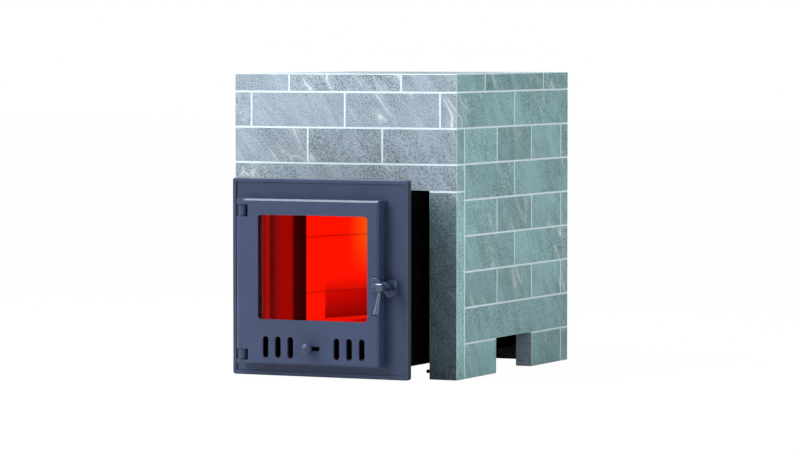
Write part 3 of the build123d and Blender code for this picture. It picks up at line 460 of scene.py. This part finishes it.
def mortar(finishes):
    """Trowelled lime mortar: matte, pale and slightly sandy."""
    material, tree, place = new_material("trowelled_mortar")
    sand = add(tree, "TexNoise", {"Vector": place, "Scale": 1 / MORTAR_SAND, "Detail": 3.0}).outputs["Fac"]
    colour = shaded(tree, finishes.mortar, sand, 0.9, 1.08)
    bump = add(tree, "Bump", {"Strength": 0.3, "Distance": 0.3 * MM, "Height": sand}).outputs[0]
    finish_surface(tree, Base_Color=colour, Roughness=0.85, Normal=bump)
    return material


# Iron, steel, glass and rope


def painted_iron(name, finishes, sizes, opening=None, lit="#000000", shaded_return=False):
    """Sand-cast iron under blue-grey heat-proof paint: fine grain, satin, a little uneven in tone.

    Painted shade: the edges of an opening over the fire are near black, and may take the fire's painted
    light.
    """
    material, tree, place = new_material(name)
    grain = add(tree, "TexNoise", {
        "Vector": place, "Scale": 1 / sizes.casting_grain, "Detail": 3.0}).outputs["Fac"]
    wave = add(tree, "TexNoise", {"Vector": place, "Scale": 1 / PAINT_PATCH, "Detail": 4.0}).outputs["Fac"]
    colour = shaded(tree, finishes.iron, wave, 0.9, 1.1, 0.3, 0.7)
    colour = shaded(tree, colour, grain, 0.93, 1.07, 0.3, 0.7)
    if shaded_return:
        # Painted shade: the plate's return, which faces sideways, is given a dark teal.
        side = add(tree, "Math", {0: facing(tree, "X"), 1: 0.9}, operation="GREATER_THAN").outputs[0]
        colour = add(tree, "Mix", {
            SHARE: side, COLOUR_A: colour, COLOUR_B: opaque(linear("#12282C"))},
            data_type="RGBA").outputs[MIXED_COLOUR]
    painted_fire_light = {}
    if opening:
        # Painted shade in the opening's reveals, with the fire's painted light on them.
        edge = add(tree, "Math", {0: facing(tree, "Y"), 1: 0.5}, operation="LESS_THAN").outputs[0]
        around = within(tree, place, opening)
        reveal_shade = add(tree, "Math", {0: edge, 1: around}, operation="MULTIPLY").outputs[0]
        colour = add(tree, "Mix", {
            SHARE: reveal_shade, COLOUR_A: colour, COLOUR_B: opaque(linear("#050203"))},
            data_type="RGBA").outputs[MIXED_COLOUR]
        painted_fire_light = {"Emission_Color": opaque(linear(lit)), "Emission_Strength": reveal_shade}
    rough = add(tree, "MapRange", {"Value": grain, "To Min": 0.36, "To Max": 0.52}).outputs[0]
    bump = add(tree, "Bump", {"Strength": 0.35, "Distance": 0.25 * MM, "Height": grain}).outputs[0]
    finish_surface(tree, Base_Color=colour, Roughness=rough, Normal=bump, Specular_IOR_Level=0.3, **painted_fire_light)
    return material


def black_steel():
    """Sheet steel in matte black heat-proof paint: almost no light comes back from it."""
    material, tree, place = new_material("matte_black_sheet_steel")
    dust = add(tree, "TexNoise", {"Vector": place, "Scale": 1 / DUST_PATCH, "Detail": 5.0}).outputs["Fac"]
    colour = add(tree, "ValToRGB", {"Fac": dust}, [
        (0.35, linear("#000000")), (0.75, linear("#040404"))]).outputs["Color"]
    rough = add(tree, "MapRange", {"Value": dust, "To Min": 0.75, "To Max": 0.95}).outputs[0]
    finish_surface(tree, Base_Color=colour, Roughness=rough, Specular_IOR_Level=0.02)
    return material


def turned_steel(finishes):
    """Turned steel, oiled and darkened by heat: fine marks of the tool and a soft gloss."""
    material, tree, place = new_material("turned_steel")
    marks = add(tree, "TexNoise", {"Vector": place, "Scale": 1 / TOOL_MARK, "Detail": 2.0}).outputs["Fac"]
    colour = shaded(tree, finishes.steel, marks, 0.88, 1.1)
    rough = add(tree, "MapRange", {"Value": marks, "To Min": 0.28, "To Max": 0.42}).outputs[0]
    finish_surface(tree, Base_Color=colour, Metallic=0.85, Roughness=rough)
    return material


def brushed_top():
    """Brushed sheet steel: long fine scratches along the sheet."""
    material, tree, place = new_material("brushed_sheet_steel")
    drawn = (1 / SCRATCH_WIDTH, 1 / SCRATCH_LENGTH, 1 / SCRATCH_WIDTH)
    along = add(tree, "Mapping", {"Vector": place, "Scale": drawn}).outputs["Vector"]
    scratch = add(tree, "TexNoise", {"Vector": along, "Scale": 1.0, "Detail": 3.0}).outputs["Fac"]
    colour = add(tree, "ValToRGB", {"Fac": scratch}, [
        (0.3, linear("#8D959C")), (0.7, linear("#B5BCC2"))]).outputs["Color"]
    rough = add(tree, "MapRange", {"Value": scratch, "To Min": 0.32, "To Max": 0.5}).outputs[0]
    bump = add(tree, "Bump", {"Strength": 0.1, "Distance": 0.1 * MM, "Height": scratch}).outputs[0]
    finish_surface(tree, Base_Color=colour, Metallic=1.0, Roughness=rough, Normal=bump)
    return material


def ceramic_glass():
    """Clear heat-proof glass ceramic, its gloss a little uneven from smoke.

    Its index is far below the real 1.5, so that the white room's reflection doesn't veil the fire.
    """
    material, tree, place = new_material("clear_glass_ceramic")
    smoke = add(tree, "TexNoise", {"Vector": place, "Scale": 1 / SMOKE_PATCH, "Detail": 3.0}).outputs["Fac"]
    rough = add(tree, "MapRange", {"Value": smoke, "To Min": 0.0, "To Max": 0.03}).outputs[0]
    finish_surface(tree, Base_Color=opaque(linear("#FFFFFF")), Roughness=rough, IOR=1.05,
                   Transmission_Weight=1.0)
    return material


def plaited_rope(sizes):
    """Plaited glass-fibre rope, grey-black: crossing strands with a dull sheen."""
    material, tree, place = new_material("plaited_glass_fibre")
    slanted = add(tree, "Mapping", {
        "Vector": place, "Rotation": (0, math.radians(45), 0)}).outputs["Vector"]
    strands = []
    for direction in ("X", "Z"):
        strands.append(add(tree, "TexWave", {
            "Vector": slanted, "Scale": 2 * math.pi / (WAVE_RATE * sizes.rope_strand)},
            bands_direction=direction).outputs["Fac"])
    plait = add(tree, "Math", {0: strands[0], 1: strands[1]}, operation="MAXIMUM").outputs[0]
    colour = add(tree, "ValToRGB", {"Fac": plait}, [
        (0.2, linear("#141414")), (0.9, linear("#3A3A3A"))]).outputs["Color"]
    bump = add(tree, "Bump", {"Strength": 0.8, "Distance": 0.8 * MM, "Height": plait}).outputs[0]
    finish_surface(tree, Base_Color=colour, Roughness=0.8, Normal=bump)
    return material


# Surfaces lit by the fire


def lit_lining(finishes, lower=False):
    """Firebrick lit red by the fire: dark in the shade of the door, then bright, with sooty seams.

    Behind its bend the lower course is duller, in painted shade that deepens towards the hearth, and the
    others turn orange towards the flame.
    """
    material, tree, place = new_material("lit_firebrick_low" if lower else "lit_firebrick")
    height = add(tree, "SeparateXYZ", {0: place}).outputs["Z"]
    depth = along_depth(tree, place, LINING_FRONT, LINING_REAR)
    length = LINING_REAR - LINING_FRONT
    shade_end, bend = LINING_SHADE / length, LINING_BEND / length
    bend_end = bend + BEND_EDGE
    shade, deep_shade, glow = linear("#400000"), linear("#1C0000"), tuple(finishes.glow)
    stops = [(0.0, shade), (shade_end, deep_shade), (shade_end + SHADE_EDGE, glow)]
    if lower:
        stops += [(bend, glow), (bend_end, linear("#D40400")), (1.0, linear("#B00200"))]
    else:
        stops += [(1.0, glow)]
    colour = add(tree, "ValToRGB", {"Fac": depth}, stops).outputs["Color"]
    behind = add(tree, "MapRange", {"Value": depth, "From Min": bend, "From Max": bend_end}).outputs[0]
    if lower:
        colour = shaded(tree, colour, height, 0.42, 1.0, HEARTH_TOP, LOWER_SEAM, behind)
    else:
        colour = shaded(tree, colour, height, 0.66, 1.0, LOWER_SEAM, LOWER_SEAM + BEND_SHADE, behind)
        far = add(tree, "MapRange", {
            "Value": depth, "From Min": bend + FLAME_NEAR, "From Max": bend + FLAME_FAR}).outputs[0]
        high = add(tree, "MapRange", {
            "Value": height, "From Min": FLAME_FOOT, "From Max": FLAME_TOP}).outputs[0]
        flame = add(tree, "Math", {0: far, 1: high}, operation="MULTIPLY").outputs[0]
        colour = add(tree, "Mix", {
            SHARE: flame, COLOUR_A: colour, COLOUR_B: opaque(finishes.flame)},
            data_type="RGBA").outputs[MIXED_COLOUR]
    for seam in (LOWER_SEAM, UPPER_SEAM):
        colour = shaded(tree, colour, apart(tree, height, seam), 0.55, 1.0, 0.0, SEAM_SOOT)
    finish_lit(tree, colour, rough=0.95)
    return material


def lit_tunnel(finishes):
    """Steel tunnel lit from the fire behind: bands of dull red light with darker bands between, and painted
    shadow behind the plate.
    """
    material, tree, place = new_material("lit_tunnel_steel")
    far = CASING_FRONT + TUNNEL_BEHIND
    depth = along_depth(tree, place, PLATE_BACK, far)
    shadow, dark, dull, warm = (linear(code) for code in ("#200000", "#580404", "#780A0A", "#A00400"))
    ember = tuple(finishes.ember)
    # Each band is the millimetres that it lies ahead of the casing's front, and its tone.
    bands = (
        (150, shadow), (145, dull), (137, dark), (129, dull), (98, ember), (91, dull), (74, dark),
        (55, dull), (12, warm), (-38, warm), (-62, dark),
    )
    stops = [((CASING_FRONT - ahead * MM - PLATE_BACK) / (far - PLATE_BACK), tone) for ahead, tone in bands]
    colour = add(tree, "ValToRGB", {"Fac": depth}, stops).outputs["Color"]
    height = add(tree, "SeparateXYZ", {0: place}).outputs["Z"]
    colour = shaded(tree, colour, height, 0.0, 1.0, HEARTH_TOP, HEARTH_TOP + SILL_SHADE)
    finish_lit(tree, colour, rough=0.8)
    return material


def lit_hearth(finishes):
    """Hearth under the embers: its upper face is bright and speckled with ash."""
    material, tree, place = new_material("lit_hearth")
    ash = add(tree, "TexNoise", {"Vector": place, "Scale": 1 / ASH_PATCH, "Detail": 5.0}).outputs["Fac"]
    colour = add(tree, "ValToRGB", {"Fac": ash}, [
        (0.3, linear("#D80C02")), (0.7, tuple(finishes.glow))]).outputs["Color"]
    normal = add(tree, "NewGeometry").outputs["True Normal"]
    up = add(tree, "SeparateXYZ", {0: normal}).outputs["Z"]
    up = add(tree, "Math", {0: up, 1: 0.5}, operation="GREATER_THAN").outputs[0]
    finish_lit(tree, colour, rough=0.95, strength=up)
    return material


# Meshes


def middle_of(shell):
    """Mean of the middles of a shell's faces."""
    return sum((face.calc_center_median() for face in shell), Vector()) / len(shell)


def islands(mesh):
    """The separate shells of a bmesh, in order of their places, as lists of faces."""
    left = set(mesh.faces)
    found = []
    while left:
        shell = []
        queue = [left.pop()]
        while queue:
            face = queue.pop()
            shell.append(face)
            for edge in face.edges:
                for other in edge.link_faces:
                    if other in left:
                        left.remove(other)
                        queue.append(other)
        found.append(shell)
    return sorted(found, key=lambda shell: tuple(round(v, 4) for v in middle_of(shell)))


def merged_copy(node):
    """A bmesh of a frame node, with its triangles joined and its flat faces made whole."""
    mesh = bmesh.new()
    mesh.from_mesh(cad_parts[node].data)
    bmesh.ops.remove_doubles(mesh, verts=mesh.verts, dist=MERGE_REACH)
    bmesh.ops.dissolve_limit(
        mesh, angle_limit=math.radians(FLAT_DEGREES), verts=mesh.verts, edges=mesh.edges)
    return mesh


def sharp_edges(mesh):
    """The edges between two faces that meet at more than the sharp angle."""
    least = math.radians(SHARP_DEGREES)
    return [edge for edge in mesh.edges if len(edge.link_faces) == 2 and edge.calc_face_angle(0.0) > least]


def dress(mesh, node, body, materials, smooth=False):
    """Makes the bmesh an object that stands for a node and rides on a body."""
    name = node + "_dressed"
    data = bpy.data.meshes.new(name)
    mesh.to_mesh(data)
    mesh.free()
    piece = bpy.data.objects.new(name, data)
    bpy.context.scene.collection.objects.link(piece)
    for material in materials:
        data.materials.append(material)
    if smooth:
        data.shade_smooth()
        data.set_sharp_from_angle(angle=math.radians(SMOOTH_DEGREES))
    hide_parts(node)
    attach(piece, body)


def paint(material, *nodes):
    """Gives frame nodes their material."""
    for node in nodes:
        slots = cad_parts[node].data.materials
        slots.clear()
        slots.append(material)


def cut_slabs(node, materials, arris, seed):
    """Slabs with a bevelled arris in a painted highlight, each marked with its own place in the stone."""
    mesh = merged_copy(node)
    bmesh.ops.bevel(
        mesh, geom=list(mesh.edges), offset=arris, offset_type="OFFSET", affect="EDGES", segments=1,
        profile=0.5, material=1, clamp_overlap=True)
    layer = mesh.faces.layers.float_vector.new("slab")
    draw = random.Random(seed)
    for shell in islands(mesh):
        mark = Vector((draw.random(), draw.random(), draw.random()))
        for face in shell:
            face[layer] = mark
    dress(mesh, node, "casing", materials)


def soften(node, body, material, width, segments):
    """A casting or rope with its sharp edges rounded."""
    mesh = merged_copy(node)
    bmesh.ops.bevel(
        mesh, geom=sharp_edges(mesh), offset=width, offset_type="OFFSET", affect="EDGES",
        segments=segments, profile=0.5, material=-1, clamp_overlap=True)
    dress(mesh, node, body, [material], smooth=True)


# Camera, lamps, sky and floor


def set_camera(stage):
    """The camera at the photograph's place, with its lens."""
    data = bpy.data.cameras.new("camera")
    data.sensor_width = SENSOR_MM
    data.sensor_fit = "HORIZONTAL"
    data.lens = FOCAL_PIXELS / IMAGE_WIDTH * SENSOR_MM
    data.clip_end = VIEW_REACH
    camera = bpy.data.objects.new("camera", data)
    bpy.context.scene.collection.objects.link(camera)
    turn = Matrix.Rotation(stage.camera_turn, 4, "Z")
    tilt = Matrix.Rotation(math.pi / 2 - stage.camera_tilt, 4, "X")
    camera.matrix_world = Matrix.Translation(stage.camera_place) @ turn @ tilt
    bpy.context.scene.camera = camera


def lamp(name, place, width, power):
    """A square soft lamp aimed at the middle of the stove."""
    data = bpy.data.lights.new(name, "AREA")
    data.size = width
    data.energy = power
    source = bpy.data.objects.new(name, data)
    aim = LAMP_AIM - Vector(place)
    source.matrix_world = Matrix.Translation(place) @ aim.to_track_quat("-Z", "Y").to_matrix().to_4x4()
    bpy.context.scene.collection.objects.link(source)


def seen_directly(tree):
    """1 for the rays that show the background, from the camera or through the glass."""
    rays = add(tree, "LightPath").outputs
    return add(tree, "Math", {
        0: rays["Is Camera Ray"], 1: rays["Is Transmission Ray"]}, operation="MAXIMUM").outputs[0]


def set_sky(level):
    """Pale even light, and plain white where the camera sees past the floor, also through the glass."""
    world = bpy.data.worlds.new("sky")
    tree = emptied_tree(world)
    strength = add(tree, "Mix", {
        SHARE: seen_directly(tree), LEVEL_A: level, LEVEL_B: 1.0}, data_type="FLOAT").outputs[MIXED_LEVEL]
    light = add(tree, "Background", {"Color": opaque(linear("#FFFFFF")), "Strength": strength})
    add(tree, "OutputWorld", {"Surface": light.outputs[0]})
    bpy.context.scene.world = world


def lay_floor():
    """A wide white floor that keeps a faint shadow."""
    mesh = bmesh.new()
    bmesh.ops.create_grid(mesh, x_segments=1, y_segments=1, size=FLOOR_REACH)
    data = bpy.data.meshes.new("floor")
    mesh.to_mesh(data)
    mesh.free()
    floor = bpy.data.objects.new("floor", data)
    bpy.context.scene.collection.objects.link(floor)
    material = bpy.data.materials.new("white_floor")
    tree = emptied_tree(material)
    matte = add(tree, "BsdfDiffuse", {"Color": opaque(linear("#D8D8D8"))}).outputs[0]
    white = add(tree, "Emission", {"Strength": 1.0}).outputs[0]
    share = add(tree, "Math", {0: seen_directly(tree), 1: FLOOR_OWN_WHITE}, operation="MULTIPLY").outputs[0]
    both = add(tree, "MixShader", {0: share, 1: matte, 2: white}).outputs[0]
    add(tree, "OutputMaterial", {"Surface": both})
    data.materials.append(material)


# Operators


class StoveStageMaker(bpy.types.Operator):
    """Set the camera, lamps, sky and floor"""

    bl_idname = "stove.stage"
    bl_label = "Stage"

    def execute(self, context):
        stage = context.scene.stove_stage
        set_camera(stage)
        set_sky(stage.sky)
        lamp("key_lamp", KEY_PLACE, KEY_WIDTH, stage.key_power)
        lamp("side_lamp", SIDE_PLACE, SIDE_WIDTH, stage.fill_power)
        lamp("top_lamp", TOP_PLACE, TOP_WIDTH, stage.top_power)
        lay_floor()
        context.scene.view_settings.view_transform = "Standard"
        return {"FINISHED"}


class StoveSlabs(bpy.types.Operator):
    """Dress the soapstone slabs"""

    bl_idname = "stove.slabs"
    bl_label = "Slabs"

    def execute(self, context):
        finishes, sizes = context.scene.stove_finishes, context.scene.stove_sizes
        # Every slab's bevelled arris gets a painted highlight.
        edge = highlit_arris(finishes)
        stone = soapstone("honed_soapstone", finishes, sizes)
        # The legs' soapstone carries painted shade on their front faces.
        leg = soapstone("honed_soapstone_leg_shaded", finishes, sizes, leg=True)
        for order, node in enumerate(SLAB_NODES):
            cut_slabs(node, [stone, edge], sizes.arris, SLAB_SEED + order)
        for order, node in enumerate(LEG_NODES):
            cut_slabs(node, [leg, edge], sizes.arris, LEG_SEED + order)
        return {"FINISHED"}


class StoveMortar(bpy.types.Operator):
    """Finish the mortar joints"""

    bl_idname = "stove.mortar"
    bl_label = "Mortar"

    def execute(self, context):
        paint(mortar(context.scene.stove_finishes), "mortar_walls", "mortar_top")
        return {"FINISHED"}


class StoveCastings(bpy.types.Operator):
    """Paint the front plate, door, latch and air knob"""

    bl_idname = "stove.castings"
    bl_label = "Castings"

    def execute(self, context):
        finishes, sizes = context.scene.stove_finishes, context.scene.stove_sizes
        iron = painted_iron("painted_cast_iron", finishes, sizes)
        paint(iron, "latch_washer", "air_knob")
        glass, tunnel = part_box("door_glass"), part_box("fire_tunnel_front")
        # The window's reveals and a little round them are in painted shade.
        window = [[v - REVEAL_SHADE_REACH for v in glass[0]], [v + REVEAL_SHADE_REACH for v in glass[1]]]
        mouth = [(tunnel[0][0], tunnel[0][1], HEARTH_TOP), tunnel[1]]
        paint(painted_iron("painted_cast_iron_door", finishes, sizes, window), "door_casting")
        # The plate's mouth reveals take painted shade and the fire's painted red light; its return takes
        # painted shade.
        plate = painted_iron("painted_cast_iron_plate", finishes, sizes, mouth, "#6A1414", shaded_return=True)
        paint(plate, "front_plate")
        for node, body in (("latch_keeper", "casing"), ("latch_arm", "latch")):
            soften(node, body, iron, sizes.edge_round, SMALL_ROUND_STEPS)
        return {"FINISHED"}


class StoveTurnedParts(bpy.types.Operator):
    """Finish the grip, hub, stem, pins and screws"""

    bl_idname = "stove.turned_parts"
    bl_label = "Turned parts"

    def execute(self, context):
        steel = turned_steel(context.scene.stove_finishes)
        paint(steel, "handle_grip", "handle_hub", "knob_stem", "latch_bolt", "keeper_screw",
              "clip_screws", "hinge_pin_lower", "hinge_pin_upper")
        return {"FINISHED"}


class StoveSteel(bpy.types.Operator):
    """Finish the sheet steel inside, behind the plate and on the top"""

    bl_idname = "stove.steel"
    bl_label = "Sheet steel"

    def execute(self, context):
        black = black_steel()
        paint(black, "levelling_feet", "firebox_shell", "firebox_front", "ash_channel", "ash_pan",
              "ash_pan_handle", "stone_chamber", "chamber_flange", "flue_pipe", "tunnel_shroud", "air_box",
              "plate_bolts", "baffle", "glass_clips", "slider_rails", "air_slider")
        paint(brushed_top(), "flue_collar", "steel_top", "lid", "lid_grip", "lid_hinge_pin")
        return {"FINISHED"}


class StoveFire(bpy.types.Operator):
    """Light the lining, the hearth, the grate and the tunnel"""

    bl_idname = "stove.fire"
    bl_label = "Fire"

    def execute(self, context):
        finishes = context.scene.stove_finishes
        paint(lit_lining(finishes), "lining_middle", "lining_upper")
        paint(lit_lining(finishes, lower=True), "lining_lower")
        paint(lit_hearth(finishes), "hearth_floor", "grate")
        paint(lit_tunnel(finishes), "fire_tunnel_front", "fire_tunnel_rear")
        return {"FINISHED"}


class StoveGlazing(bpy.types.Operator):
    """Glaze the door and lay its seals"""

    bl_idname = "stove.glazing"
    bl_label = "Glazing"

    def execute(self, context):
        sizes = context.scene.stove_sizes
        paint(ceramic_glass(), "door_glass")
        rope = plaited_rope(sizes)
        soften("door_seal", "door", rope, sizes.rope_round, ROPE_ROUND_STEPS)
        soften("glass_gasket", "door", rope, sizes.gasket_round, SMALL_ROUND_STEPS)
        return {"FINISHED"}


OPERATORS = (
    StoveStageMaker, StoveSlabs, StoveMortar, StoveCastings, StoveTurnedParts, StoveSteel, StoveFire,
    StoveGlazing,
)


class StovePanel(bpy.types.Panel):
    """Lists the parts of the stove's dressing"""

    bl_idname = "VIEW3D_PT_stove"
    bl_label = "Soapstone stove"
    bl_space_type = "VIEW_3D"
    bl_region_type = "UI"
    bl_category = "Stove"

    def draw(self, context):
        scene = context.scene
        for group in (scene.stove_finishes, scene.stove_sizes, scene.stove_stage):
            box = self.layout.box()
            for name in group.__annotations__:
                box.prop(group, name)
        for operator in OPERATORS:
            self.layout.operator(operator.bl_idname)


CLASSES = (StoveFinishes, StoveSizes, StoveStage) + OPERATORS + (StovePanel,)


def register():
    """Makes the add-on's classes and settings known to Blender."""
    for cls in CLASSES:
        bpy.utils.register_class(cls)
    bpy.types.Scene.stove_finishes = PointerProperty(type=StoveFinishes)
    bpy.types.Scene.stove_sizes = PointerProperty(type=StoveSizes)
    bpy.types.Scene.stove_stage = PointerProperty(type=StoveStage)


def unregister():
    """Takes the add-on's settings and classes away again."""
    del bpy.types.Scene.stove_stage
    del bpy.types.Scene.stove_sizes
    del bpy.types.Scene.stove_finishes
    for cls in reversed(CLASSES):
        bpy.utils.unregister_class(cls)


def main():
    """Dresses the stove."""
    register()
    for operator in OPERATORS:
        group, name = operator.bl_idname.split(".")
        getattr(getattr(bpy.ops, group), name)()


if __name__ == "__main__":
    main()
